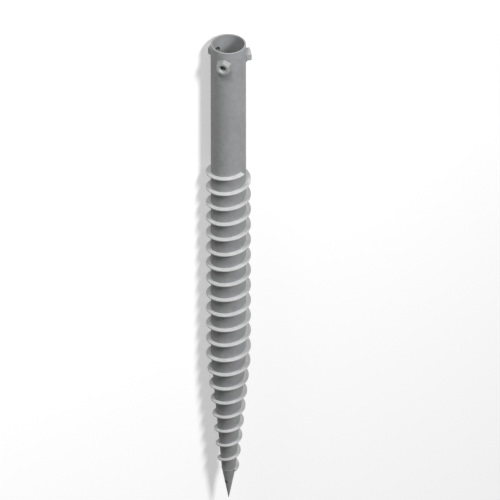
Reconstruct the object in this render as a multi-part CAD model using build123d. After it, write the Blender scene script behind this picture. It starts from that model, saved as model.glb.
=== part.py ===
from build123d import *
import math
import os

# Ground screw for a foundation: a steel tube swaged to a taper, a welded driving point,
# one long helical flight and three clamp nuts round the mouth.
# Each piece is built upright, with the tip at height 0 and the mouth at the top, and is
# then laid on its side: the screw axis runs along +X and the ground is Z = 0.
# Lengths are in millimetres, angles in degrees.

# Driving dimensions of the tube
total_length = 1200.0
tube_radius = 38.0
wall = 3.6
point_length = 80.0
taper_length = 300.0
taper_end_radius = 15.0
edge_break = 0.5

# Driving dimensions of the helical flight
flight_pitch = 40.0
flight_turns = 20
flight_thickness = 3.0
flight_width = 10.5
flight_end_width = 7.1
flight_start_angle = 180.0
flight_fit = 0.1

# Driving dimensions of the clamp nuts, their welds and the bolt holes behind them
nut_count = 3
nut_across_flats = 27.0
nut_height = 10.5
nut_bore = 16.0
nut_depth = 34.5
nut_chamfer_angle = 15.0
nut_face_share = 0.98
nut_countersink = 1.0
bolt_hole = 17.5
weld_leg = 2.5
weld_side_angle = 15.0

# Driving dimensions of the driving point
tip_radius = 0.5
spigot_length = 14.0
vent_bore = 9.0
vent_height = 45.0
vent_angle = 90.0
drill_tip_angle = 118.0

# Heights above the tip, and radii that follow from them
taper_end = point_length
taper_start = point_length + taper_length
flight_end = taper_end
flight_start = flight_end + flight_turns * flight_pitch
nut_axis_height = total_length - nut_depth
bore_radius = tube_radius - wall
taper_bore_radius = taper_end_radius - wall
rest_height = tube_radius + nut_height


def revolve_profile(*corners):
    """A solid of revolution about the screw axis from (radius, height) corners."""
    points = [(radius, 0, height) for radius, height in corners]
    return revolve(make_face(Polyline(*points, close=True)), Axis.Z)


def radial_place(angle, height, radius=0.0):
    """A place whose Z points straight out of the screw at the given angle and height, and
    whose X points down the axis."""
    return Rot(0, 0, angle) * Pos(radius, 0, height) * Rot(0, 90, 0)


def radial_bar(angle, height, radius, reach):
    """A round bar from the screw axis out to the given reach."""
    bar = Cylinder(radius, reach, align=(Align.CENTER, Align.CENTER, Align.MIN))
    return radial_place(angle, height) * bar


def nut_angles():
    """The directions of the clamp nuts, of which the first points at the ground."""
    return [index * 360.0 / nut_count for index in range(nut_count)]


def make_tube_body():
    """The tube and its taper in one piece, with a clearance hole behind each nut."""
    tube = revolve_profile(
        (tube_radius, taper_start),
        (tube_radius, total_length - edge_break),
        (tube_radius - edge_break, total_length),
        (bore_radius + edge_break, total_length),
        (bore_radius, total_length - edge_break),
        (bore_radius, taper_start),
        (taper_bore_radius, taper_end),
        (taper_end_radius, taper_end),
    )
    for angle in nut_angles():
        tube -= radial_bar(angle, nut_axis_height, bolt_hole / 2, tube_radius + wall)
    return tube


def make_driving_point():
    """The turned point: a cone, slightly blunt, with a spigot that fits the end of the
    taper. It is bored down to a cross hole that drains the tube."""
    bore = vent_bore / 2
    drill_cone = bore / math.tan(math.radians(drill_tip_angle / 2))
    point = revolve_profile(
        (0, 0),
        (tip_radius, 0),
        (taper_end_radius, taper_end),
        (taper_bore_radius, taper_end),
        (taper_bore_radius, taper_end + spigot_length),
        (bore, taper_end + spigot_length),
        (bore, vent_height),
        (0, vent_height - drill_cone),
    )
    return point - radial_bar(vent_angle, vent_height, bore, taper_end_radius)


def taper_share(height):
    """How far up the taper a height lies: 0 at its narrow end, 1 where the tube begins."""
    return min((height - taper_end) / taper_length, 1.0)


def root_radius(height):
    """Inner radius of the flight, which slides onto the taper and tube with a close fit."""
    steel = taper_end_radius + taper_share(height) * (tube_radius - taper_end_radius)
    return steel + flight_fit


def rim_radius(height):
    """Outer radius of the flight, which narrows as it runs down the taper."""
    end_radius = taper_end_radius + flight_end_width
    return end_radius + taper_share(height) * (tube_radius + flight_width - end_radius)


def flight_edge(radius_at, lift):
    """One of the four long edges of the flight, as a helix for each turn. Its helices are
    conical on the taper and cylindrical on the tube, and where the taper begins two more
    breaks let it bend. The radius at each height comes from radius_at."""
    breaks = {flight_end + turn * flight_pitch for turn in range(flight_turns + 1)}
    breaks = sorted(breaks | {taper_start - flight_thickness, taper_start})
    spans = []
    for low, high in zip(breaks, breaks[1:]):
        low_radius = radius_at(low + lift)
        spread = math.atan2(radius_at(high + lift) - low_radius, high - low)
        slant_pitch = flight_pitch / math.cos(spread)
        span = Helix(slant_pitch, high - low, low_radius, cone_angle=math.degrees(spread))
        turn = flight_start_angle + 360.0 * (low - flight_end) / flight_pitch
        spans.append(Rot(0, 0, turn) * Pos(0, 0, low + lift) * span)
    return Wire(spans)


def make_helical_flight():
    """The flight: a flat bar wound on edge. Ruled faces join its four long edges, and a
    square cut closes each end."""
    edges = [
        flight_edge(root_radius, 0),
        flight_edge(rim_radius, 0),
        flight_edge(rim_radius, flight_thickness),
        flight_edge(root_radius, flight_thickness),
    ]
    faces = []
    for edge, next_edge in zip(edges, edges[1:] + edges[:1]):
        faces += Face.make_surface_from_curves(edge, next_edge).faces()
    for end in (0, 1):
        corners = [edge.position_at(end) for edge in edges]
        faces.append(Face(Wire.make_polygon(corners)))
    return Solid(Shell(faces))


def hexagon(across_flats):
    """A hexagon with two corners in line with the screw axis."""
    return RegularPolygon(across_flats / 2, 6, major_radius=False)


def make_clamp_nut(angle):
    """A hexagon nut whose base touches the crest of the tube. A chamfered ring holds its
    bore, countersink and outer face, and the hexagon cuts the flats."""
    corner_radius = nut_across_flats / math.sqrt(3)
    face_radius = nut_face_share * nut_across_flats / 2
    drop = (corner_radius - face_radius) * math.tan(math.radians(nut_chamfer_angle))
    ring = revolve_profile(
        (nut_bore / 2, 0),
        (corner_radius, 0),
        (corner_radius, nut_height - drop),
        (face_radius, nut_height),
        (nut_bore / 2 + nut_countersink, nut_height),
        (nut_bore / 2, nut_height - nut_countersink),
    )
    nut = ring & extrude(hexagon(nut_across_flats), nut_height)
    return radial_place(angle, nut_axis_height, tube_radius) * nut


def make_nut_weld(angle):
    """The fillet weld round a clamp nut. It follows the curve of the tube and fills the
    wedge between the tube and the flat base of the nut."""
    toe = nut_across_flats / 2 + 2 * weld_leg
    depth = tube_radius - math.sqrt(tube_radius**2 - toe**2)
    spread = depth * math.tan(math.radians(weld_side_angle))
    outline = hexagon(nut_across_flats + 2 * (weld_leg + spread))
    bead = extrude(outline, depth + weld_leg, taper=weld_side_angle)
    bead = radial_place(angle, nut_axis_height, tube_radius - depth) * bead
    tube_layer = Cylinder(tube_radius + weld_leg, total_length) - Cylinder(tube_radius, total_length)
    bead &= Pos(0, 0, total_length / 2) * tube_layer
    inner_radius = nut_across_flats / 2 - weld_leg
    bead -= radial_bar(angle, nut_axis_height, inner_radius, rest_height)
    solid_nut = extrude(hexagon(nut_across_flats), nut_height)
    return bead - radial_place(angle, nut_axis_height, tube_radius) * solid_nut


def lay_down(shape):
    """Turn a piece from upright to lying: the axis goes along +X, centred over the origin,
    and the first nut and the rim of the flight touch the ground."""
    return Pos(-total_length / 2, 0, rest_height) * Rot(0, 90, 0) * shape


nodes = {
    "tube_body": make_tube_body(),
    "driving_point": make_driving_point(),
    "helical_flight": make_helical_flight(),
}
for number, angle in enumerate(nut_angles(), start=1):
    nodes[f"clamp_nut_{number}"] = make_clamp_nut(angle)
    nodes[f"nut_weld_{number}"] = make_nut_weld(angle)

os.makedirs("parts", exist_ok=True)
for name, shape in nodes.items():
    export_step(lay_down(shape), f"parts/{name}.step")
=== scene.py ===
import logging
import math
from abc import ABC, abstractmethod
from dataclasses import dataclass, field
from enum import Enum
from typing import Callable

import bpy
import numpy as np
from mathutils import Matrix, Vector


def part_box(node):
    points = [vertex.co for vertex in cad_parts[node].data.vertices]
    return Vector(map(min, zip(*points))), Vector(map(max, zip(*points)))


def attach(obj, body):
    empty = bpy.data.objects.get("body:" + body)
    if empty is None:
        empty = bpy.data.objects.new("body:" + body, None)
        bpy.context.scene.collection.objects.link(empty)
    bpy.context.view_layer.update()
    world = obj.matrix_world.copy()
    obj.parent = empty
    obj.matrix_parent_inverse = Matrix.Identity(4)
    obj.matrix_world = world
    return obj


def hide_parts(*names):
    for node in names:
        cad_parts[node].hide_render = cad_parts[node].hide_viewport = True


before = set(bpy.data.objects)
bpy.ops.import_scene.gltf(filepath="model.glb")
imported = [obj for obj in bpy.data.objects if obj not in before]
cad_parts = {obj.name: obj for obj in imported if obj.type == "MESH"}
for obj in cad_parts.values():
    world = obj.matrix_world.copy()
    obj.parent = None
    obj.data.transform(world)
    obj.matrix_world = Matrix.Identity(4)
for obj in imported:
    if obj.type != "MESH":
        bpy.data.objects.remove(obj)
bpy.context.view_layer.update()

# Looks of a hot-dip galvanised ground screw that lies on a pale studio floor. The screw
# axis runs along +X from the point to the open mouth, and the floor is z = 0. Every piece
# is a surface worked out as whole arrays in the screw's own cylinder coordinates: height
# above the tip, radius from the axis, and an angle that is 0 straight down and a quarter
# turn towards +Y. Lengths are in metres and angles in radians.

LOG = logging.getLogger("ground_screw")
BODY = "root"
MM = 0.001
TURN = 2.0 * math.pi
WHITE = (1.0, 1.0, 1.0, 1.0)
NUT_NUMBERS = (1, 2, 3)

# Corners sharper than this stay sharp, and points nearer than this become one
SHARP_EDGE = math.radians(32.0)
MERGE_DISTANCE = 1e-6

# Margins for comparisons and for divisions
NEAR = 1e-7
TINY = 1e-12

# A flat stretch beside a rounded corner is held flat from this many reaches away
FLAT_HOLD = 1.4

# Angles over the quarter arc of a fillet weld
FILLET_ARC = np.linspace(0.0, TURN / 4, 7)

Array = np.ndarray
Profile = Callable[[Array], Array]
Grey = tuple[float, float, float]
Waves = tuple[tuple[float, float, float], ...]
Socket = bpy.types.NodeSocket
Piece = bpy.types.Object


class Slot(Enum):
    """The finishes that the record names."""

    STEEL = "galvanised_steel"
    FLIGHT = "galvanised_flight"
    NUT = "galvanised_nut"
    WELD = "weld_metal"


@dataclass(frozen=True)
class ScrewAxis:
    """The screw's place and main sizes, as the frame gives them.

    Attributes:
        tip: Where the sharp end lies along X.
        mouth: Where the open end lies along X.
        centre_y: The axis's place across the floor.
        centre_z: The axis's height above the floor.
        tube_radius: Outer radius of the straight tube.
        flight_radius: Outer radius of the flight on the straight tube.
    """

    tip: float
    mouth: float
    centre_y: float
    centre_z: float
    tube_radius: float
    flight_radius: float

    @classmethod
    def from_frame(cls) -> "ScrewAxis":
        """Read the axis from the boxes of the tube, the point and the flight.

        Returns:
            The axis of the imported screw.
        """
        tube_low, tube_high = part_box("tube_body")
        point_low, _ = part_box("driving_point")
        flight_low, flight_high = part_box("helical_flight")
        return cls(
            tip=point_low.x,
            mouth=tube_high.x,
            centre_y=(tube_low.y + tube_high.y) / 2,
            centre_z=(tube_low.z + tube_high.z) / 2,
            tube_radius=round((tube_high.z - tube_low.z) / 2, 5),
            flight_radius=round((flight_high.z - flight_low.z) / 2, 5),
        )

    @property
    def length(self) -> float:
        """The screw's whole length."""
        return self.mouth - self.tip

    def place(self, height: Array, radius: Array, angle: Array) -> Array:
        """Turn cylinder coordinates into points in the frame: tip + height along X, radius
        times the angle's sine along Y, and radius times its cosine below the axis.

        Args:
            height: Distances above the tip.
            radius: Distances from the axis.
            angle: Angles round the axis, 0 straight down.

        Returns:
            An array with one more dimension, of x, y and z.
        """
        across = self.centre_y + radius * np.sin(angle)
        up = self.centre_z - radius * np.cos(angle)
        return np.stack(np.broadcast_arrays(self.tip + height, across, up), axis=-1)

    def place_outwards(self, height: float, angle: float, local: Array) -> Array:
        """Turn points round a radial axis into points in the frame: local x runs down the
        screw, y across it and z straight out of it, from a point on its axis.

        Args:
            height: Height of the radial axis above the tip.
            angle: Its direction round the screw.
            local: Points with x, y and z in the last dimension.

        Returns:
            The points in the frame.
        """
        down_axis = np.array([-1.0, 0.0, 0.0])
        outwards = np.array([0.0, math.sin(angle), -math.cos(angle)])
        across = np.cross(outwards, down_axis)
        origin = np.array([self.tip + height, self.centre_y, self.centre_z])
        axes = np.stack([down_axis, across, outwards])
        return origin + local @ axes


@dataclass(frozen=True)
class TubeShape:
    """The section of the tube, its taper and its point.

    Attributes:
        axis: Where the screw lies.
        wall: Thickness of the tube's wall.
        point_length: Length of the sharp cone.
        taper_length: Length of the taper between the cone and the straight tube.
        taper_end_radius: Outer radius where the taper meets the cone.
        bend_length: How far the bend between taper and tube reaches to each side.
    """

    axis: ScrewAxis
    wall: float = 3.6 * MM
    point_length: float = 80.0 * MM
    taper_length: float = 300.0 * MM
    taper_end_radius: float = 15.0 * MM
    bend_length: float = 1.5 * MM

    @property
    def taper_start(self) -> float:
        """Height at which the straight tube begins."""
        return self.point_length + self.taper_length

    @property
    def slope(self) -> float:
        """How much the taper's radius grows for each unit of height."""
        return (self.axis.tube_radius - self.taper_end_radius) / self.taper_length

    def outer_radius(self, height: Array) -> Array:
        """Outer radius of the taper and tube: a straight slope up to the tube's radius."""
        rise = self.taper_end_radius + self.slope * (height - self.point_length)
        return np.minimum(rise, self.axis.tube_radius)

    def inner_radius(self, height: Array) -> Array:
        """Inner radius of the taper and tube: the outer one less the wall."""
        return self.outer_radius(height) - self.wall


@dataclass
class Surfaces:
    """The grids of one piece, gathered before they become one mesh.

    Attributes:
        points: One array of points for each grid.
        quads: One array of corner numbers for each grid.
        paths: One array of (along, across) for each corner of each quad.
    """

    points: list[Array] = field(default_factory=list)
    quads: list[Array] = field(default_factory=list)
    paths: list[Array] = field(default_factory=list)

    def add_grid(
        self,
        grid: Array,
        close_columns: bool = False,
        keep: Array | None = None,
        step: tuple[float, float] = (1.0, 1.0),
    ) -> None:
        """Add a grid of points, joined to its neighbours by quads.

        Args:
            grid: Points in rows and columns, with x, y and z last.
            close_columns: Whether the last column joins the first.
            keep: For each quad, whether it is kept; None keeps all.
            step: How far one row and one column go along and across the path.
        """
        rows, columns = grid.shape[:2]
        across = columns if close_columns else columns - 1
        row, column = np.meshgrid(np.arange(rows - 1), np.arange(across), indexing="ij")
        along = np.stack([row, row, row + 1, row + 1], axis=-1)
        over = np.stack([column, column + 1, column + 1, column], axis=-1)
        quads = along * columns + over % columns
        path = np.stack([along * step[0], over * step[1]], axis=-1)
        chosen = np.ones(quads.shape[:2], bool) if keep is None else keep
        self.quads.append(quads[chosen] + sum(len(part) for part in self.points))
        self.points.append(grid.reshape(-1, 3))
        self.paths.append(path[chosen])

    def add_cap(self, loop: Array) -> None:
        """Close a ring of points with quads that shrink onto its middle.

        Args:
            loop: Points of a closed ring.
        """
        middle = np.broadcast_to(loop.mean(axis=0), loop.shape)
        self.add_grid(np.stack([loop, middle]), close_columns=True)

    def add_sweep(self, grid: Array, step: tuple[float, float] = (1.0, 1.0)) -> None:
        """Add a closed section that is carried along the rows, and close both its ends.

        Args:
            grid: Points in rows and columns, with x, y and z last.
            step: How far one row and one column go along and across the path.
        """
        self.add_grid(grid, close_columns=True, step=step)
        self.add_cap(grid[0][::-1])
        self.add_cap(grid[-1])

    def build(self, name: str) -> Piece:
        """Merge points that meet, turn the faces outwards and make a smooth mesh.

        The faces look inwards where the sum of each quad's middle times its normal is
        negative. A quad with one side of no length becomes a triangle.

        Args:
            name: The piece's name.

        Returns:
            A mesh object at the origin, whose corners over 32 degrees stay sharp.
        """
        points, quads = np.concatenate(self.points), np.concatenate(self.quads)
        paths = np.concatenate(self.paths)
        corners = points[quads] - points.mean(axis=0)
        facing = np.cross(corners[:, 2] - corners[:, 0], corners[:, 3] - corners[:, 1])
        if (corners.mean(axis=1) * facing).sum() < 0:
            quads, paths = quads[:, ::-1], paths[:, ::-1]
        keys = np.round(points / MERGE_DISTANCE).astype(np.int64)
        _, first, merged = np.unique(keys, axis=0, return_index=True, return_inverse=True)
        quads = merged.reshape(-1)[quads]
        same = quads == np.roll(quads, -1, axis=1)
        whole, fan = same.sum(axis=1) == 0, same.sum(axis=1) == 1
        kept = ~same[fan]
        faces = quads[whole].tolist() + quads[fan][kept].reshape(-1, 3).tolist()
        path = [paths[whole].reshape(-1, 2), paths[fan][kept].reshape(-1, 2)]
        mesh = bpy.data.meshes.new(name)
        mesh.from_pydata(points[first].tolist(), [], faces)
        layer = mesh.uv_layers.new(name="path")
        layer.data.foreach_set("uv", np.concatenate(path).astype(np.float32).ravel())
        mesh.polygons.foreach_set("use_smooth", np.ones(len(faces), bool))
        mesh.set_sharp_from_angle(angle=SHARP_EDGE)
        mesh.update()
        piece = bpy.data.objects.new(name, mesh)
        bpy.context.scene.collection.objects.link(piece)
        return piece


def rounded(corners: Array, reach: list[float], steps: int = 4) -> Array:
    """Round the corners of a section line.

    Each corner becomes a quadratic curve between two tangent points, which lie its reach
    away from it, with the corner as the control point. A point beside each tangent point
    keeps the shading of the flat stretch next to it flat. A reach of 0 keeps the corner,
    as at the two ends of an open line.

    Args:
        corners: The line's corners along the first axis, with two numbers last.
        reach: How far each corner's curve reaches along its two sides.
        steps: Pieces in each curve.

    Returns:
        The rounded line's points along the first axis.
    """
    size = np.reshape(reach, (-1,) + (1,) * (corners.ndim - 1))
    before = np.roll(corners, 1, axis=0) - corners
    after = np.roll(corners, -1, axis=0) - corners
    before = before / np.maximum(np.linalg.norm(before, axis=-1, keepdims=True), TINY)
    after = after / np.maximum(np.linalg.norm(after, axis=-1, keepdims=True), TINY)
    shares = np.linspace(0.0, 1.0, steps + 1)
    curves = [(1 - share) ** 2 * before + share**2 * after for share in shares]
    moves = [FLAT_HOLD * before, *curves, FLAT_HOLD * after]
    rows = [corners + size * move for move in moves]
    return np.stack(rows, axis=1).reshape((-1,) + corners.shape[1:])


def unsteady(turn: Array, waves: Waves) -> Array:
    """How a hand-held torch widens and narrows a weld: one, plus a sine for each wave.

    Args:
        turn: Angles along the weld.
        waves: The depth of each wave, its count in a full turn and its phase.

    Returns:
        The weld's width over its mean width, at each angle.
    """
    return 1.0 + sum(depth * np.sin(count * turn + phase) for depth, count, phase in waves)


class Nodes:
    """A short way to write the node tree of a material or of the sky.

    Attributes:
        tree: The tree that is filled.
    """

    def __init__(self, owner: bpy.types.Material | bpy.types.World) -> None:
        """Empty the owner's tree.

        Args:
            owner: The material or the sky whose tree is filled.
        """
        owner.use_nodes = True
        self.tree = owner.node_tree
        self.tree.nodes.clear()

    def node(
        self, kind: str, inputs: dict[str | int, object], **settings: object
    ) -> bpy.types.Node:
        """Add a node, set its properties, and set or join its inputs.

        Args:
            kind: The node's type.
            inputs: For each input, a plain value or another node's output.
            settings: Property names and values.

        Returns:
            The node.
        """
        made = self.tree.nodes.new(kind)
        for key, value in settings.items():
            setattr(made, key, value)
        for key, value in inputs.items():
            if isinstance(value, Socket):
                self.tree.links.new(value, made.inputs[key])
            else:
                made.inputs[key].default_value = value
        return made

    def noise(self, place: Socket, scale: float, detail: float) -> Socket:
        """Cloudy noise between 0 and 1.

        Args:
            place: Where it is read.
            scale: Its waves a metre.
            detail: How many finer octaves it has.

        Returns:
            The value output.
        """
        inputs = {"Vector": place, "Scale": scale, "Detail": detail}
        return self.node("ShaderNodeTexNoise", inputs).outputs["Fac"]

    def spread(self, value: Socket, low: float, high: float) -> Socket:
        """Carry a value from 0..1 to low..high."""
        inputs = {"Value": value, "To Min": low, "To Max": high}
        return self.node("ShaderNodeMapRange", inputs).outputs["Result"]

    def calculate(self, operation: str, first: Socket, second: Socket) -> Socket:
        """Work out one value from two."""
        return self.node("ShaderNodeMath", {0: first, 1: second}, operation=operation).outputs[0]

    def tinted(self, grey: Grey, shade: Socket) -> Socket:
        """Multiply a colour by a value."""
        tint = self.node("ShaderNodeVectorMath", {0: grey, "Scale": shade}, operation="SCALE")
        return tint.outputs["Vector"]

    def bump(self, height: Socket, strength: float, distance: float) -> Socket:
        """Raise the surface where a value is high."""
        inputs = {"Height": height, "Strength": strength, "Distance": distance}
        return self.node("ShaderNodeBump", inputs).outputs["Normal"]

    def by_sight(self, lighting: Socket, seen: Socket) -> Socket:
        """Show one shader to the camera, reflections and glass, and light with another.

        Args:
            lighting: The shader that diffuse light meets.
            seen: The shader that is seen.

        Returns:
            The mixed shader's output.
        """
        paths = self.node("ShaderNodeLightPath", {})
        sight = paths.outputs["Is Camera Ray"]
        for output in ("Is Glossy Ray", "Is Transmission Ray"):
            sight = self.calculate("MAXIMUM", sight, paths.outputs[output])
        mix = self.node("ShaderNodeMixShader", {"Fac": sight, 1: lighting, 2: seen})
        return mix.outputs["Shader"]


@dataclass(frozen=True)
class Finish(ABC):
    """How a piece is finished.

    Attributes:
        name: The material's name.
        grey: Its mean colour.
    """

    name: str
    grey: Grey

    @abstractmethod
    def inputs(self, nodes: Nodes) -> dict[str, object]:
        """What the shader's inputs are."""

    def material(self) -> bpy.types.Material:
        """Build the material.

        Returns:
            The finished material.
        """
        material = bpy.data.materials.new(self.name)
        nodes = Nodes(material)
        shader = nodes.node("ShaderNodeBsdfPrincipled", self.inputs(nodes))
        nodes.node("ShaderNodeOutputMaterial", {"Surface": shader.outputs["BSDF"]})
        return material


@dataclass(frozen=True)
class ZincFinish(Finish):
    """Hot-dip zinc: a matt grey skin with a faint crystal pattern and soft clouds.

    Attributes:
        crystal_size: Width of a zinc crystal.
        crystal_blur: How softly one crystal runs into the next.
        crystal_contrast: How much one crystal's grey differs from the next.
        cloud_scale: Slow clouds a metre.
        cloud_contrast: How much the slow clouds darken or lighten.
        sheen_scale: Changes of roughness a metre.
        roughness: Lowest and highest roughness.
        metallic: How metallic the skin is.
        shine: Strength of its clear highlight, where 0.5 is that of glass.
        grain_scale: Grains a metre.
        grain_height: Height of the fine grain.
        grain_strength: How strongly the grain shows.
        cloud_detail: Finer octaves of the clouds and the roughness.
        grain_detail: Finer octaves of the grain.
    """

    crystal_size: float = 9.0 * MM
    crystal_blur: float = 0.2
    crystal_contrast: float = 0.05
    cloud_scale: float = 14.0
    cloud_contrast: float = 0.10
    sheen_scale: float = 60.0
    roughness: tuple[float, float] = (0.44, 0.6)
    metallic: float = 0.06
    shine: float = 0.35
    grain_scale: float = 420.0
    grain_height: float = 0.12 * MM
    grain_strength: float = 0.35
    cloud_detail: float = 3.0
    grain_detail: float = 4.0

    def shade(self, nodes: Nodes, place: Socket) -> Socket:
        """The skin's light and dark: each crystal's own grey times the slow clouds.

        Args:
            nodes: The material's nodes.
            place: Where the patterns are read.

        Returns:
            A value near 1.
        """
        cells = nodes.node(
            "ShaderNodeTexVoronoi",
            {"Vector": place, "Scale": 1.0 / self.crystal_size, "Smoothness": self.crystal_blur},
            feature="SMOOTH_F1",
        )
        parted = nodes.node("ShaderNodeSeparateColor", {"Color": cells.outputs["Color"]})
        contrast = self.crystal_contrast
        crystal = nodes.spread(parted.outputs["Red"], 1 - contrast, 1 + contrast)
        clouds = nodes.noise(place, self.cloud_scale, self.cloud_detail)
        cloud = nodes.spread(clouds, 1 - self.cloud_contrast, 1 + self.cloud_contrast)
        return nodes.calculate("MULTIPLY", crystal, cloud)

    def inputs(self, nodes: Nodes) -> dict[str, object]:
        """Colour from crystals and clouds, roughness from a slow noise, and a fine grain.

        Args:
            nodes: The material's nodes.

        Returns:
            The shader's inputs.
        """
        place = nodes.node("ShaderNodeTexCoord", {}).outputs["Object"]
        sheen = nodes.noise(place, self.sheen_scale, self.cloud_detail)
        grain = nodes.noise(place, self.grain_scale, self.grain_detail)
        return {
            "Base Color": nodes.tinted(self.grey, self.shade(nodes, place)),
            "Roughness": nodes.spread(sheen, *self.roughness),
            "Metallic": self.metallic,
            "Specular IOR Level": self.shine,
            "Normal": nodes.bump(grain, self.grain_strength, self.grain_height),
        }


@dataclass(frozen=True)
class WeldFinish(Finish):
    """A zinc-coated weld bead with the ripples that the torch leaves along it.

    Attributes:
        ripple: Length of one ripple along the bead's path.
        wave_scale: The wave node's scale at which one wave is one unit long.
        bend: How far the ripples bend out of line.
        bend_detail: Finer octaves of that bending.
        shading: Painted shade in the ripples' valleys and painted highlight on their crests: how
            dark the one and how light the other is.
        ripple_height: Height of a ripple.
        ripple_strength: How strongly the ripples show.
        roughness: The bead's roughness.
        metallic: How metallic the bead is.
    """

    ripple: float = 2.2 * MM
    wave_scale: float = 0.314
    bend: float = 2.0
    bend_detail: float = 2.0
    shading: tuple[float, float] = (0.88, 1.06)
    ripple_height: float = 0.25 * MM
    ripple_strength: float = 0.4
    roughness: float = 0.55
    metallic: float = 0.1

    def ripples(self, nodes: Nodes) -> Socket:
        """Bent ripples along the path that each bead carries.

        Args:
            nodes: The material's nodes.

        Returns:
            A value from 0 in the valleys to 1 on the crests.
        """
        path = nodes.node("ShaderNodeUVMap", {}, uv_map="path")
        scale = (1.0 / self.ripple, 1.0, 1.0)
        mapping = nodes.node("ShaderNodeMapping", {"Vector": path.outputs["UV"], "Scale": scale})
        inputs = {
            "Vector": mapping.outputs["Vector"],
            "Scale": self.wave_scale,
            "Distortion": self.bend,
            "Detail": self.bend_detail,
        }
        waves = nodes.node("ShaderNodeTexWave", inputs, wave_type="BANDS", bands_direction="X")
        return waves.outputs["Fac"]

    def inputs(self, nodes: Nodes) -> dict[str, object]:
        """Ripples that lift the surface, with painted shade in their valleys and a painted
        highlight on their crests.

        Args:
            nodes: The material's nodes.

        Returns:
            The shader's inputs.
        """
        ripples = self.ripples(nodes)
        return {
            # The base colour is darker in the ripple valleys and lighter on the crests: painted
            # shade and painted highlight.
            "Base Color": nodes.tinted(self.grey, nodes.spread(ripples, *self.shading)),
            "Roughness": self.roughness,
            "Metallic": self.metallic,
            "Normal": nodes.bump(ripples, self.ripple_strength, self.ripple_height),
        }


FINISHES: dict[Slot, Finish] = {
    Slot.STEEL: ZincFinish("zinc_skin", (0.26, 0.263, 0.267)),
    # The flight is the same zinc as the tube; its lighter grey is painted light, which makes its
    # faces look more brightly lit than the tube.
    Slot.FLIGHT: ZincFinish("zinc_bar_painted_light", (0.48, 0.483, 0.487)),
    Slot.NUT: ZincFinish("zinc_nut", (0.31, 0.313, 0.317), crystal_size=4.0 * MM),
    Slot.WELD: WeldFinish("zinc_weld", (0.26, 0.263, 0.267)),
}


class Wardrobe:
    """The finished materials, one for each slot.

    Attributes:
        materials: The material of each slot.
    """

    def __init__(self, finishes: dict[Slot, Finish]) -> None:
        """Build each finish once.

        Args:
            finishes: The finish of each slot.
        """
        self.materials = {slot: finish.material() for slot, finish in finishes.items()}

    def dress(self, piece: Piece, slot: Slot, *cad_nodes: str) -> Piece:
        """Give a piece its material and its body, and hide the CAD nodes that it replaces.

        Args:
            piece: The mesh object.
            slot: The slot of its finish.
            cad_nodes: The CAD nodes that it replaces.

        Returns:
            The piece.
        """
        piece.data.materials.append(self.materials[slot])
        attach(piece, BODY)
        if cad_nodes:
            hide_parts(*cad_nodes)
        return piece


class SubAssembly(ABC):
    """A part of the screw that makes its own pieces."""

    @abstractmethod
    def assemble(self, wardrobe: Wardrobe) -> list[Piece]:
        """Build the pieces and dress them."""


@dataclass(frozen=True)
class BoltHole:
    """A round hole through the tube's wall, and the grid window that it sits in.

    Attributes:
        height: Height of its middle above the tip.
        angle: Its direction round the tube.
        radius: The hole's radius.
        half_height: Half of the window's reach along the tube.
        half_angle: Half of the window's reach round the tube.
    """

    height: float
    angle: float
    radius: float
    half_height: float
    half_angle: float

    def ring(self, heights: Array, angles: Array) -> Array:
        """Walk round the window's edge on the grid's own lines.

        Args:
            heights: The grid's heights inside the window, its edges included.
            angles: The grid's angles inside the window, its edges included.

        Returns:
            The height and the angle of each of the ring's points.
        """
        grid = np.stack(np.meshgrid(heights, angles, indexing="ij"), axis=-1)
        sides = [grid[0, :-1], grid[:-1, -1], grid[-1, :0:-1], grid[:0:-1, 0]]
        return np.concatenate(sides)

    def outline(self, ring: Array, tube_radius: float, radius_at: Profile) -> Array:
        """The hole's edge on one skin, with a point for each point of the window's ring.

        It is where a bar of the hole's radius meets the skin, so its angle is the arc
        sine of its reach across over the skin's radius.

        Args:
            ring: The height and the angle of each of the ring's points.
            tube_radius: The tube's outer radius.
            radius_at: The skin's radius at each height.

        Returns:
            The height and the angle of each of the outline's points.
        """
        up, across = ring[:, 0] - self.height, (ring[:, 1] - self.angle) * tube_radius
        way = np.arctan2(across, up)
        height = self.height + self.radius * np.cos(way)
        turn = np.arcsin(self.radius * np.sin(way) / radius_at(height))
        return np.stack([height, self.angle + turn], axis=-1)


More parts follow.
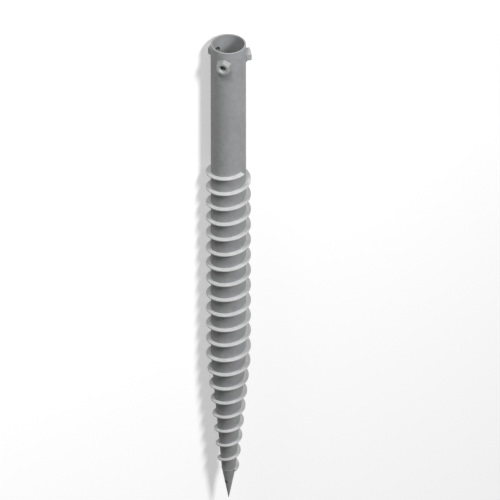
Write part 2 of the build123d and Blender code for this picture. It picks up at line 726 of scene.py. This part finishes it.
@dataclass
class TubeBody(SubAssembly):
    """The open tube and its swaged taper, with a bolt hole behind each nut.

    Attributes:
        shape: The tube's section.
        columns: Points round the tube.
        rows: Rows on the taper, over its bend, up to the holes, across and above them.
        first_angle: Where the first column lies, midway between two holes.
        edge_break: Size of the chamfers at the mouth.
        hole_radius: Radius of the bolt holes.
        hole_depth: Distance of the bolt holes below the mouth.
        hole_rings: Rings of points between a hole and its window.
        window_reach: Half of a window's height.
        window_columns: Columns in half of a window.
    """

    shape: TubeShape
    columns: int = 120
    rows: tuple[int, ...] = (40, 5, 60, 13, 6)
    first_angle: float = TURN / 6
    edge_break: float = 0.5 * MM
    hole_radius: float = 8.75 * MM
    hole_depth: float = 34.5 * MM
    hole_rings: int = 5
    window_reach: float = 12.0 * MM
    window_columns: int = 6

    def holes(self) -> list[BoltHole]:
        """The three bolt holes, a third of a turn apart.

        Returns:
            The holes, of which the last is behind the first nut.
        """
        height = self.shape.axis.length - self.hole_depth
        half_angle = self.window_columns * TURN / self.columns
        return [
            BoltHole(height, number * TURN / 3, self.hole_radius, self.window_reach, half_angle)
            for number in NUT_NUMBERS
        ]

    def angles(self) -> Array:
        """Angles of the grid's columns, once round the tube."""
        return self.first_angle + np.linspace(0.0, TURN, self.columns + 1)

    def heights(self) -> Array:
        """Heights of the grid's rows on the tube's wall: close together at the bend and
        round the holes, and wide apart elsewhere.

        Returns:
            The heights above the tip, from the taper's end to the mouth's chamfer.
        """
        shape, hole = self.shape, self.holes()[0]
        stops = [
            shape.point_length,
            shape.taper_start - shape.bend_length,
            shape.taper_start + shape.bend_length,
            hole.height - hole.half_height,
            hole.height + hole.half_height,
            shape.axis.length - self.edge_break,
        ]
        spans = zip(stops, stops[1:], self.rows)
        stretches = [np.linspace(low, high, count) for low, high, count in spans]
        return np.unique(np.round(np.concatenate(stretches), 9))

    def pierced_wall(self, surfaces: Surfaces, radius_at: Profile) -> list[Array]:
        """Add one skin of the tube, with a round hole in each window.

        The skin is a grid of heights and angles at the radius that radius_at gives. In
        each window, rings blend in equal steps from the hole's outline to the window's
        edge.

        Args:
            surfaces: Where the skin is added.
            radius_at: The skin's radius at each height.

        Returns:
            For each hole, the points of its outline.
        """
        axis = self.shape.axis
        heights, angles = self.heights(), self.angles()
        keep = np.ones((len(heights) - 1, len(angles) - 1), bool)
        share = np.linspace(0.0, 1.0, self.hole_rings)[:, None, None]
        outlines = []
        for hole in self.holes():
            in_height = np.abs(heights - hole.height) < hole.half_height + NEAR
            in_angle = np.abs(angles - hole.angle) < hole.half_angle + NEAR
            keep[np.ix_(in_height[:-1] & in_height[1:], in_angle[:-1] & in_angle[1:])] = False
            ring = hole.ring(heights[in_height], angles[in_angle])
            edge = hole.outline(ring, axis.tube_radius, radius_at)
            path = edge * (1 - share) + ring * share
            patch = axis.place(path[..., 0], radius_at(path[..., 0]), path[..., 1])
            surfaces.add_grid(patch, close_columns=True)
            outlines.append(patch[0])
        grid = axis.place(heights[:, None], radius_at(heights)[:, None], angles[None, :])
        surfaces.add_grid(grid, keep=keep)
        return outlines

    def skin(self) -> Piece:
        """Build the tube: two skins, the mouth's rim, the taper's end and the hole walls.

        Returns:
            The tube's mesh object.
        """
        shape, axis = self.shape, self.shape.axis
        surfaces = Surfaces()
        outer = self.pierced_wall(surfaces, shape.outer_radius)
        inner = self.pierced_wall(surfaces, shape.inner_radius)
        for outside, inside in zip(outer, inner):
            surfaces.add_grid(np.stack([outside, inside]), close_columns=True)
        angles = self.angles()[None, :]
        tube, bore = axis.tube_radius, axis.tube_radius - shape.wall
        edge, top = self.edge_break, axis.length
        rim = np.array(
            [[top - edge, tube], [top, tube - edge], [top, bore + edge], [top - edge, bore]]
        )
        surfaces.add_grid(axis.place(rim[:, :1], rim[:, 1:], angles))
        end = np.array([shape.taper_end_radius, shape.taper_end_radius - shape.wall])
        surfaces.add_grid(axis.place(shape.point_length, end[:, None], angles))
        return surfaces.build("tube_skin")

    def assemble(self, wardrobe: Wardrobe) -> list[Piece]:
        """Build the tube and dress it."""
        return [wardrobe.dress(self.skin(), Slot.STEEL, "tube_body")]


@dataclass
class DrivingPoint(SubAssembly):
    """The turned point with its spigot, its bore and its drain hole.

    Attributes:
        shape: The tube's section.
        spigot_length: How far the spigot reaches into the taper.
        bore_radius: Radius of the axial bore and of the drain hole.
        drain_height: Height of the drain hole above the tip.
        drain_angle: Its direction round the screw.
        tip_radius: Radius of the blunted tip.
        drill_angle: Half of the drill's tip angle.
        rows: Rows along the cone.
        columns: Points round the cone.
        bore_columns: Points round the drain hole.
        seam_width: Width of the weld between the point and the taper.
        seam_rise: How far that weld stands proud.
        seam_sink: Share of that rise by which its toes sink in.
        seam_waves: How its width changes round the screw.
        seam_rows: Points across it.
        seam_columns: Points round it.
    """

    shape: TubeShape
    spigot_length: float = 14.0 * MM
    bore_radius: float = 4.5 * MM
    drain_height: float = 45.0 * MM
    drain_angle: float = TURN / 4
    tip_radius: float = 0.5 * MM
    drill_angle: float = math.radians(59.0)
    rows: int = 28
    columns: int = 96
    bore_columns: int = 48
    seam_width: float = 4.0 * MM
    seam_rise: float = 0.45 * MM
    seam_sink: float = 0.25
    seam_waves: Waves = ((0.06, 9.0, 0.0), (0.04, 14.0, 0.0))
    seam_rows: int = 13
    seam_columns: int = 144

    def section(self) -> Array:
        """The half section, with rows close enough for smooth shading.

        Returns:
            Pairs of height and radius, from the tip over the outside to the bore's end.
        """
        shape = self.shape
        top, base = shape.taper_end_radius, shape.point_length
        spigot, shoulder = top - shape.wall, base + self.spigot_length
        cone = np.linspace(self.tip_radius, top, self.rows)
        rise = (cone - self.tip_radius) / (top - self.tip_radius) * base
        drill_cone = self.bore_radius / math.tan(self.drill_angle)
        inside = [
            [base, spigot],
            [shoulder, spigot],
            [shoulder, self.bore_radius],
            [self.drain_height, self.bore_radius],
            [self.drain_height - drill_cone, 0.0],
        ]
        return np.concatenate([[[0.0, 0.0]], np.stack([rise, cone], axis=-1), inside])

    def cutter(self) -> Piece:
        """Build a bar that cuts the drain hole from the axis outwards.

        Returns:
            The bar's mesh object.
        """
        turn = np.linspace(0.0, TURN, self.bore_columns + 1)[:-1]
        ring = self.bore_radius * np.stack([np.cos(turn), np.sin(turn)], axis=-1)
        ends = (0.0, self.shape.taper_end_radius)
        local = np.stack([np.insert(ring, 2, reach, axis=-1) for reach in ends])
        bar = self.shape.axis.place_outwards(self.drain_height, self.drain_angle, local)
        surfaces = Surfaces()
        surfaces.add_grid(bar, close_columns=True)
        surfaces.add_cap(bar[0])
        surfaces.add_cap(bar[1][::-1])
        return surfaces.build("drain_cutter")

    def skin(self) -> Piece:
        """Turn the section round the axis and cut the drain hole.

        Returns:
            The point's mesh object.
        """
        section = self.section()
        angles = np.linspace(0.0, TURN, self.columns + 1)
        surfaces = Surfaces()
        axis = self.shape.axis
        surfaces.add_grid(axis.place(section[:, :1], section[:, 1:], angles[None, :]))
        piece = surfaces.build("point_skin")
        cutter = self.cutter()
        cut = piece.modifiers.new("drain", "BOOLEAN")
        cut.operation = "DIFFERENCE"
        cut.solver = "EXACT"
        cut.object = cutter
        evaluated = piece.evaluated_get(bpy.context.evaluated_depsgraph_get())
        mesh = bpy.data.meshes.new_from_object(evaluated)
        piece.modifiers.clear()
        piece.data = mesh
        mesh.set_sharp_from_angle(angle=SHARP_EDGE)
        bpy.data.objects.remove(cutter)
        return piece

    def seam(self) -> Piece:
        """Turn the weld that joins the point to the taper.

        Its section is an arc that stands proud of both slopes and sinks into them at its
        two toes. Slow waves round the screw widen and narrow it a little.

        Returns:
            The seam's mesh object.
        """
        shape = self.shape
        turn = np.linspace(0.0, TURN, self.seam_columns + 1)[:, None]
        across = np.linspace(-1.0, 1.0, self.seam_rows)[None, :]
        offset = across * self.seam_width * unsteady(turn, self.seam_waves) / 2
        cone = shape.taper_end_radius / shape.point_length
        skin = shape.taper_end_radius + offset * np.where(offset < 0, cone, shape.slope)
        arc = np.sqrt(np.maximum(1.0 - across**2, 0.0))
        rise = self.seam_rise * ((1.0 + self.seam_sink) * arc - self.seam_sink)
        base = np.full_like(offset[:, :1], shape.taper_end_radius - 2 * self.seam_rise)
        height = shape.point_length + np.concatenate(
            [offset[:, :1], offset, offset[:, -1:], offset[:, :1]], axis=1
        )
        radius = np.concatenate([base, skin + rise, base, base], axis=1)
        surfaces = Surfaces()
        step = (TURN / self.seam_columns * shape.taper_end_radius, MM)
        surfaces.add_grid(shape.axis.place(height, radius, turn), step=step)
        return surfaces.build("point_seam")

    def assemble(self, wardrobe: Wardrobe) -> list[Piece]:
        """Build the point and its seam, and dress them."""
        skin = wardrobe.dress(self.skin(), Slot.STEEL, "driving_point")
        return [skin, wardrobe.dress(self.seam(), Slot.WELD)]


@dataclass
class HelicalFlight(SubAssembly):
    """The flat bar wound on edge along the tube and down the taper.

    Attributes:
        shape: The tube's section.
        pitch: Advance of one turn along the axis.
        turns: Number of turns.
        thickness: The bar's thickness along the axis.
        end_width: The bar's width at its end by the point.
        start_angle: Direction in which both ends of the bar are cut.
        corner: Size of the rounding at the bar's corners.
        root_sink: How far the root is set into the tube's skin.
        steps: Sections of the bar in one turn.
        weld_leg: Mean size of the fillet along the root.
        weld_dip: How much flatter than a full quarter arc the fillet is.
        weld_waves: How its size changes along the path.
        weld_steps: Sections of the fillet in one turn.
    """

    shape: TubeShape
    pitch: float = 40.0 * MM
    turns: int = 20
    thickness: float = 3.0 * MM
    end_width: float = 7.1 * MM
    start_angle: float = TURN / 2
    corner: float = 0.7 * MM
    root_sink: float = 0.1 * MM
    steps: int = 96
    weld_leg: float = 1.8 * MM
    weld_dip: float = 0.22
    weld_waves: Waves = ((0.07, 7.3, 0.0), (0.05, 17.1, 1.3))
    weld_steps: int = 120

    def rim_radius(self, height: Array) -> Array:
        """Outer radius of the flight: level on the tube, and a straight slope down to the
        last turn on the taper.

        Args:
            height: Heights above the tip.

        Returns:
            The radius at each height.
        """
        shape = self.shape
        end = shape.taper_end_radius + self.end_width
        share = np.minimum((height - shape.point_length) / shape.taper_length, 1.0)
        return end + share * (shape.axis.flight_radius - end)

    def turn_angles(self, steps: int) -> Array:
        """Angles along the flight, from its end by the point to its start."""
        return np.linspace(0.0, self.turns * TURN, self.turns * steps + 1)[:, None]

    def rise(self, turn: Array) -> Array:
        """Height of the bar's lower face: a pitch for each full turn."""
        return self.shape.point_length + turn / TURN * self.pitch

    def bar(self) -> Piece:
        """Carry a rectangle with rounded corners along the helix.

        A section point has a share of the bar's width, from root to rim, and a lift along
        the axis above the helix.

        Returns:
            The flight's mesh object.
        """
        shape, axis = self.shape, self.shape.axis
        width = axis.flight_radius - axis.tube_radius
        corners = np.array(
            [[0.0, 0.0], [width, 0.0], [width, self.thickness], [0.0, self.thickness]]
        )
        loop = rounded(corners, [0.0, self.corner, self.corner, 0.0])
        share, lift = loop[:, 0] / width, loop[:, 1]
        turn = self.turn_angles(self.steps)
        height = self.rise(turn) + lift[None, :]
        root = shape.outer_radius(height) - self.root_sink
        radius = root + share[None, :] * (self.rim_radius(height) - root)
        grid = axis.place(height, radius, self.start_angle + turn)
        surfaces = Surfaces()
        surfaces.add_sweep(grid)
        return surfaces.build("flight_bar")

    def weld(self) -> Piece:
        """Carry a fillet along the flight's root, on the side that faces the point.

        Its section is a quarter arc, a little flattened, from the tube, a leg away from
        the bar, to the bar's face, a leg above the tube. Slow waves along the path widen
        and narrow the leg, as a hand-held torch does.

        Returns:
            The weld's mesh object.
        """
        shape, axis = self.shape, self.shape.axis
        turn = self.turn_angles(self.weld_steps)
        size = self.weld_leg * unsteady(turn, self.weld_waves)
        arc = FILLET_ARC[None, :]
        reach = size * (1.0 - self.weld_dip * np.sin(2 * arc))
        inside = np.full_like(size, -self.root_sink)
        along = np.concatenate([reach * np.cos(arc), inside, inside], axis=1)
        out = reach * np.sin(arc)
        out = np.concatenate([inside, out[:, 1:], out[:, -1:], inside], axis=1)
        height = self.rise(turn) - along
        radius = shape.outer_radius(height) + out
        surfaces = Surfaces()
        step = (TURN / self.weld_steps * axis.tube_radius, MM)
        grid = axis.place(height, radius, self.start_angle + turn)
        surfaces.add_sweep(grid, step)
        return surfaces.build("flight_weld")

    def assemble(self, wardrobe: Wardrobe) -> list[Piece]:
        """Build the bar and its weld, and dress them."""
        bar = wardrobe.dress(self.bar(), Slot.FLIGHT, "helical_flight")
        return [bar, wardrobe.dress(self.weld(), Slot.WELD)]


@dataclass
class ClampNut(SubAssembly):
    """One hexagon nut with its thread, and the weld round its foot.

    Attributes:
        axis: Where the screw lies.
        number: 1 for the nut that the screw lies on, then 2 and 3.
        across_flats: Width across the flats.
        height: The nut's height.
        depth: Distance of its axis below the mouth.
        bore_radius: The thread's outer radius.
        countersink: Size of the chamfer at the bore's mouth.
        face_share: Diameter of the flat outer face over the width across flats.
        chamfer_angle: Slope of the chamfer on the outer corners.
        edge_round: Rounding of the edges.
        corner_power: How sharp the hexagon's corners are.
        columns: Points along each side of the hexagon.
        crowding: How strongly those points crowd towards the corners.
        thread_pitch: The thread's pitch.
        thread_depth: How far the thread's crests stand into the bore.
        thread_foot: Where a flank ends, from 0 at the crest's middle to 1 at the groove's.
        thread_flank: Width of a flank on the same scale.
        thread_start: Share of its depth that the thread gains in one pitch from its ends.
        thread_rows: Rows along the bore.
        weld_leg: Mean size of the fillet.
        weld_sink: How far its foot is set into the steel.
        weld_lip: Least height of its top above the tube's crest.
        weld_waves: How its size changes round the nut.
        weld_columns: Points round it.
    """

    axis: ScrewAxis
    number: int
    across_flats: float = 27.0 * MM
    height: float = 10.5 * MM
    depth: float = 34.5 * MM
    bore_radius: float = 8.0 * MM
    countersink: float = 1.0 * MM
    face_share: float = 0.98
    chamfer_angle: float = math.radians(15.0)
    edge_round: float = 0.1 * MM
    corner_power: float = 110.0
    columns: int = 22
    crowding: float = 0.85
    thread_pitch: float = 2.0 * MM
    thread_depth: float = 1.08 * MM
    thread_foot: float = 0.85
    thread_flank: float = 0.7
    thread_start: float = 1.6
    thread_rows: int = 96
    weld_leg: float = 2.6 * MM
    weld_sink: float = 0.25 * MM
    weld_lip: float = 0.8 * MM
    weld_waves: Waves = ((0.08, 5.0, 0.0), (0.05, 11.0, 0.7))
    weld_columns: int = 192

    @property
    def angle(self) -> float:
        """The nut's direction round the screw."""
        return (self.number - 1) * TURN / 3

    def placed(self, reach: Array, rise: Array, way: Array) -> Array:
        """Turn points round the nut's own axis into points in the frame.

        Args:
            reach: Distances from the nut's axis.
            rise: Distances from the screw's axis, along the nut's.
            way: Angles round the nut's axis.

        Returns:
            The points in the frame.
        """
        local = np.stack([reach * np.cos(way), reach * np.sin(way), rise], axis=-1)
        return self.axis.place_outwards(self.axis.length - self.depth, self.angle, local)

    def ways(self) -> Array:
        """Angles round the nut's axis, close together at the hexagon's corners: within a
        side, each share is moved back by most of its own sine wave.

        Returns:
            The angles, as one row.
        """
        share = np.linspace(0.0, 6.0, 6 * self.columns + 1)
        return (share - self.crowding * np.sin(TURN * share) / TURN)[None, :] * TURN / 6

    def hexagon_radius(self, way: Array) -> Array:
        """Radius of a hexagon with slightly rounded corners.

        It is half the width across flats over the p-norm of the cosines to the six flats.
        A high p keeps the flats flat and rounds the corners a little. Two corners lie
        along the screw.

        Args:
            way: Angles round the nut's axis.

        Returns:
            The radius at each angle.
        """
        flats = (np.arange(6) + 0.5) * TURN / 6
        reach = np.maximum(np.cos(way[..., None] - flats), 0.0)
        norm = (reach**self.corner_power).sum(axis=-1) ** (1.0 / self.corner_power)
        return self.across_flats / 2 / norm

    def saddle(self, reach: Array, way: Array) -> Array:
        """Level of the tube's skin round the nut: the square root of the tube's radius
        squared less the reach across the tube squared.

        Args:
            reach: Distances from the nut's axis.
            way: Angles round the nut's axis.

        Returns:
            Distances from the screw's axis, along the nut's.
        """
        return np.sqrt(self.axis.tube_radius**2 - (reach * np.sin(way)) ** 2)

    def thread(self, way: Array) -> Array:
        """The bore's wall, from its foot to the countersink.

        The thread's crest stands in where the phase, height over pitch less the share of
        a turn, is near a whole number. It fades out towards both ends of the bore.

        Args:
            way: Angles round the nut's axis.

        Returns:
            Rows of (radius, rise), for each angle.
        """
        top = self.height - self.countersink
        level = np.linspace(0.0, top, self.thread_rows)[:, None]
        phase = level / self.thread_pitch - way / TURN
        tooth = np.abs(phase - np.round(phase)) * 2.0
        crest = np.clip((self.thread_foot - tooth) / self.thread_flank, 0.0, 1.0)
        ends = np.minimum(level, top - level) / self.thread_pitch
        crest = crest * np.clip(ends * self.thread_start, 0.0, 1.0)
        radius = self.bore_radius - self.thread_depth * crest
        return np.stack(np.broadcast_arrays(radius, level), axis=-1)

    def shell(self, way: Array) -> Array:
        """The outside, from the countersink over the face, the chamfer and the flats to
        the foot of the bore.

        Args:
            way: Angles round the nut's axis.

        Returns:
            Rows of (radius, rise), for each angle.
        """
        bore, top = self.bore_radius, self.height
        flank = self.hexagon_radius(way)
        face = self.face_share * self.across_flats / 2
        outline = [
            (bore, top - self.countersink),
            (bore + self.countersink, top),
            (face, top),
            (flank, top - (flank - face) * math.tan(self.chamfer_angle)),
            (flank, 0.0),
            (bore, 0.0),
        ]
        corners = [np.stack(np.broadcast_arrays(*pair, way)[:2], axis=-1) for pair in outline]
        edge = self.edge_round
        return rounded(np.concatenate(corners), [0.0, edge, edge, edge, edge, 0.0])

    def nut(self) -> Piece:
        """Build the nut from the bore's foot up the thread and down its outside.

        Returns:
            The nut's mesh object.
        """
        way = self.ways()
        section = np.concatenate([self.thread(way), self.shell(way)])
        surfaces = Surfaces()
        rise = self.axis.tube_radius + section[..., 1]
        surfaces.add_grid(self.placed(section[..., 0], rise, way))
        return surfaces.build(f"nut_{self.number}")

    def weld(self) -> Piece:
        """Build the fillet round the nut's foot, which follows the curve of the tube.

        At each angle the bead runs from the flat, a leg above the tube, to the tube, a leg
        away from the flat, with a full round back. Its foot is set into the steel.

        Returns:
            The weld's mesh object.
        """
        sink, arc = self.weld_sink, FILLET_ARC[:, None]
        way = np.linspace(0.0, TURN, self.weld_columns + 1)[None, :]
        flank = self.hexagon_radius(way)
        size = self.weld_leg * unsteady(way, self.weld_waves)
        back = flank + size * np.sin(arc) - sink
        foot = self.saddle(flank + size, way) - sink
        crest = self.axis.tube_radius + self.weld_lip
        top = np.maximum(self.saddle(flank, way) + size, crest)
        inner = self.saddle(flank - sink, way) - sink
        reach = np.concatenate([back, flank - self.weld_leg, flank - sink])
        rise = np.concatenate([foot + (top - foot) * np.cos(arc), inner, top])
        grid = np.swapaxes(self.placed(reach, rise, way), 0, 1)
        step = (TURN / self.weld_columns * self.across_flats / 2, MM)
        surfaces = Surfaces()
        surfaces.add_grid(grid, close_columns=True, step=step)
        return surfaces.build(f"foot_weld_{self.number}")

    def assemble(self, wardrobe: Wardrobe) -> list[Piece]:
        """Build the nut and its weld, and dress them."""
        nut = wardrobe.dress(self.nut(), Slot.NUT, f"clamp_nut_{self.number}")
        return [nut, wardrobe.dress(self.weld(), Slot.WELD, f"nut_weld_{self.number}")]


@dataclass(frozen=True)
class Lamp:
    """A square soft lamp that faces the middle of the screw.

    Attributes:
        name: The lamp's name.
        away: Direction from the screw to the lamp.
        watts: Its power.
        size: Its width.
        distance: How far away it hangs.
    """

    name: str
    away: tuple[float, float, float]
    watts: float
    size: float
    distance: float = 6.0

    def hang(self) -> None:
        """Put the lamp in its place."""
        data = bpy.data.lights.new(self.name, "AREA")
        data.shape = "SQUARE"
        data.size = self.size
        data.energy = self.watts
        lamp = bpy.data.objects.new(self.name, data)
        bpy.context.scene.collection.objects.link(lamp)
        away = Vector(self.away).normalized()
        lamp.location = away * self.distance
        lamp.rotation_euler = away.to_track_quat("Z", "Y").to_euler()


@dataclass(frozen=True)
class Studio:
    """The floor, the lights and the camera.

    Attributes:
        axis: Where the screw lies.
        floor_size: Width of the floor.
        floor_seen: The floor's own colour in the camera's eye.
        floor_glow: What the floor adds there to its lit colour.
        floor_grey: The floor's colour for the light that it throws back.
        key: The main lamp, above the mouth's end.
        fill: A low lamp beside it that lights the flight's faces.
        sky: Strength of the even sky.
        view_width: What the camera sees across the screw, in metres.
        lens: The camera's focal length in millimetres, long enough for a flat view.
        sensor: Width of its sensor in millimetres.
        depth: How far below the mouth the middle of the view lies.
        aside: How far the middle of the view lies beside the screw's axis.
    """

    axis: ScrewAxis
    floor_size: float = 14.0
    floor_seen: float = 0.6
    floor_glow: float = 0.47
    floor_grey: float = 0.15
    key: Lamp = Lamp("key", (0.62, -0.05, 0.78), watts=360.0, size=1.6)
    fill: Lamp = Lamp("fill", (0.90, 0.42, 0.10), watts=260.0, size=1.4)
    sky: float = 0.08
    view_width: float = 1.0795
    lens: float = 1500.0
    sensor: float = 36.0
    depth: float = 0.5415
    aside: float = 0.0464

    def floor_material(self) -> bpy.types.Material:
        """Build a pale floor. The camera, reflections and glass see it white with the
        screw's shadow on it, and the light that it throws back is that of a grey board.

        Returns:
            The finished material.
        """
        material = bpy.data.materials.new("floor_board")
        nodes = Nodes(material)
        seen, grey = (
            nodes.node("ShaderNodeBsdfDiffuse", {"Color": (level, level, level, 1.0)})
            for level in (self.floor_seen, self.floor_grey)
        )
        glow = nodes.node("ShaderNodeEmission", {"Strength": self.floor_glow})
        inputs = {0: seen.outputs["BSDF"], 1: glow.outputs["Emission"]}
        white = nodes.node("ShaderNodeAddShader", inputs)
        shown = nodes.by_sight(grey.outputs["BSDF"], white.outputs["Shader"])
        nodes.node("ShaderNodeOutputMaterial", {"Surface": shown})
        return material

    def floor(self) -> None:
        """Lay the floor at z = 0 under the screw."""
        half = self.floor_size / 2
        corners = [(-half, -half, 0), (half, -half, 0), (half, half, 0), (-half, half, 0)]
        mesh = bpy.data.meshes.new("floor")
        mesh.from_pydata(corners, [], [(0, 1, 2, 3)])
        mesh.materials.append(self.floor_material())
        board = bpy.data.objects.new("floor", mesh)
        bpy.context.scene.collection.objects.link(board)

    def weather(self) -> None:
        """Set an even sky: white where it is seen, and weak in the light that it gives."""
        world = bpy.data.worlds.new("sky")
        nodes = Nodes(world)
        weak, white = (
            nodes.node("ShaderNodeBackground", {"Color": WHITE, "Strength": strength})
            for strength in (self.sky, 1.0)
        )
        shown = nodes.by_sight(weak.outputs["Background"], white.outputs["Background"])
        nodes.node("ShaderNodeOutputWorld", {"Surface": shown})
        bpy.context.scene.world = world

    def camera(self) -> None:
        """Look down on the screw from equal parts of +X, +Y and +Z, with the axis upright
        in the view, from so far away that the view is nearly parallel."""
        back = Vector((1.0, 1.0, 1.0)).normalized()
        right = Vector((0.0, -1.0, 1.0)).normalized()
        turn = Matrix((right, back.cross(right), back)).transposed()
        target = Vector((self.axis.mouth - self.depth, self.axis.centre_y, self.axis.centre_z))
        target += right * self.aside
        distance = self.view_width * self.lens / self.sensor
        data = bpy.data.cameras.new("camera")
        data.type = "PERSP"
        data.lens = self.lens
        data.sensor_width = self.sensor
        data.clip_start = 1.0
        data.clip_end = distance * 2
        camera = bpy.data.objects.new("camera", data)
        camera.matrix_world = Matrix.Translation(target + back * distance) @ turn.to_4x4()
        bpy.context.scene.collection.objects.link(camera)
        bpy.context.scene.camera = camera

    def build(self) -> None:
        """Set up the floor, the lamps, the sky, the camera and the plain view transform."""
        self.floor()
        self.key.hang()
        self.fill.hang()
        self.weather()
        self.camera()
        bpy.context.scene.view_settings.view_transform = "Standard"


def main() -> None:
    """Build and dress every piece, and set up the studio."""
    logging.basicConfig(level=logging.INFO)
    axis = ScrewAxis.from_frame()
    shape = TubeShape(axis)
    wardrobe = Wardrobe(FINISHES)
    parts: list[SubAssembly] = [TubeBody(shape), DrivingPoint(shape), HelicalFlight(shape)]
    parts += [ClampNut(axis, number) for number in NUT_NUMBERS]
    for part in parts:
        for piece in part.assemble(wardrobe):
            LOG.info("%s: %d faces", piece.name, len(piece.data.polygons))
    Studio(axis).build()


if __name__ == "__main__":
    main()
